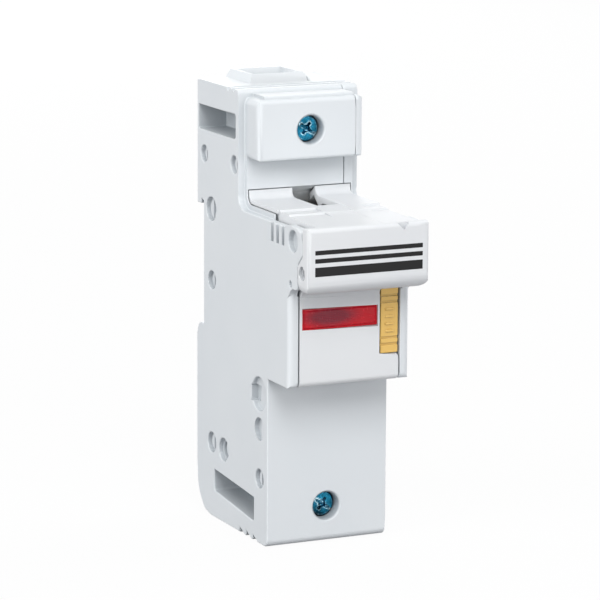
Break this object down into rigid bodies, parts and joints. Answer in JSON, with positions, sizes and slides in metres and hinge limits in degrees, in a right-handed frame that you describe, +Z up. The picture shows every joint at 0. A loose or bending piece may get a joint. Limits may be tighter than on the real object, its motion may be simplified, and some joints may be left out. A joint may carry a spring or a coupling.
{
  "type": "fuse disconnector",
  "caption": "Rail-mounted disconnector for a cylindrical fuse link, with a pivoting carrier, an indicator lens, a padlock slide and screw terminals.",
  "frame": {"origin": "middle of the rail seat: on the plane where the rail's lips bear on the housing, at the height of the rail's centre line and at mid-width", "axes": "+Y rearwards to the rail, +Z up, +X across the width, to the right as seen from the front"},
  "size_m": [0.036, 0.0733, 0.1258],
  "materials": {
    "housing_plastic": "fine satin",
    "carrier_plastic": "fine satin",
    "lens_plastic": "gloss",
    "slide_plastic": "satin",
    "clip_plastic": "satin",
    "screw_zinc": "blue-passivated zinc",
    "cage_steel": "zinc plated",
    "copper_strip": "bare metal",
    "spring_steel": "drawn",
    "ceramic": "unglazed",
    "cap_plating": "nickel plated",
    "board_laminate": "matt",
    "lamp_glass": "clear",
    "resistor_coat": "lacquered"
  },
  "bodies": {
    "housing": {"left_shell": "housing_plastic", "right_cover": "housing_plastic", "upper_contact": "copper_strip", "lower_contact": "copper_strip", "upper_jaw_spring": "spring_steel", "lower_jaw_spring": "spring_steel", "clip_spring": "spring_steel"},
    "carrier": {"carrier_left": "carrier_plastic", "carrier_right": "carrier_plastic", "indicator_lens": "lens_plastic", "fuse_tube": "ceramic", "upper_fuse_cap": "cap_plating", "lower_fuse_cap": "cap_plating", "lamp_board": "board_laminate", "neon_lamp": "lamp_glass", "series_resistor": "resistor_coat", "upper_lamp_lead": "copper_strip", "lower_lamp_lead": "copper_strip"},
    "lock": {"lock_slide": "slide_plastic"},
    "clip": {"rail_clip": "clip_plastic"},
    "upper_clamp_screw": {"upper_screw": "screw_zinc"},
    "upper_clamp_cage": {"upper_cage": "cage_steel"},
    "lower_clamp_screw": {"lower_screw": "screw_zinc"},
    "lower_clamp_cage": {"lower_cage": "cage_steel"}
  },
  "joints": [
    {"name": "carrier_hinge", "type": "hinge", "parent": "housing", "child": "carrier", "pos_m": [0, -0.05, -0.02], "axis": [1, 0, 0], "range_deg": [0, 90]},
    {"name": "lock_pull", "type": "slide", "parent": "carrier", "child": "lock", "axis": [0, -1, 0], "range_m": [0, 0.009]},
    {"name": "clip_pull", "type": "slide", "parent": "housing", "child": "clip", "axis": [0, 0, -1], "range_m": [0, 0.0034], "stiffness_N_per_m": 2000, "springref_m": -0.004, "deforming": ["clip_spring"]},
    {"name": "upper_screw_turn", "type": "hinge", "parent": "housing", "child": "upper_clamp_screw", "pos_m": [0, -0.0288, 0.0405], "axis": [0, 1, 0], "range_deg": [0, 1440]},
    {"name": "upper_cage_slide", "type": "slide", "parent": "housing", "child": "upper_clamp_cage", "axis": [0, -1, 0], "range_m": [0, 0.004]},
    {"name": "lower_screw_turn", "type": "hinge", "parent": "housing", "child": "lower_clamp_screw", "pos_m": [0, -0.0401, -0.0624], "axis": [0, 1, 0], "range_deg": [0, 1440]},
    {"name": "lower_cage_slide", "type": "slide", "parent": "housing", "child": "lower_clamp_cage", "axis": [0, -1, 0], "range_m": [0, 0.004]}
  ],
  "couplings": [
    {"joint": "upper_screw_turn", "follows": "upper_cage_slide", "rad_per_m": 6283.2},
    {"joint": "lower_screw_turn", "follows": "lower_cage_slide", "rad_per_m": 6283.2}
  ]
}
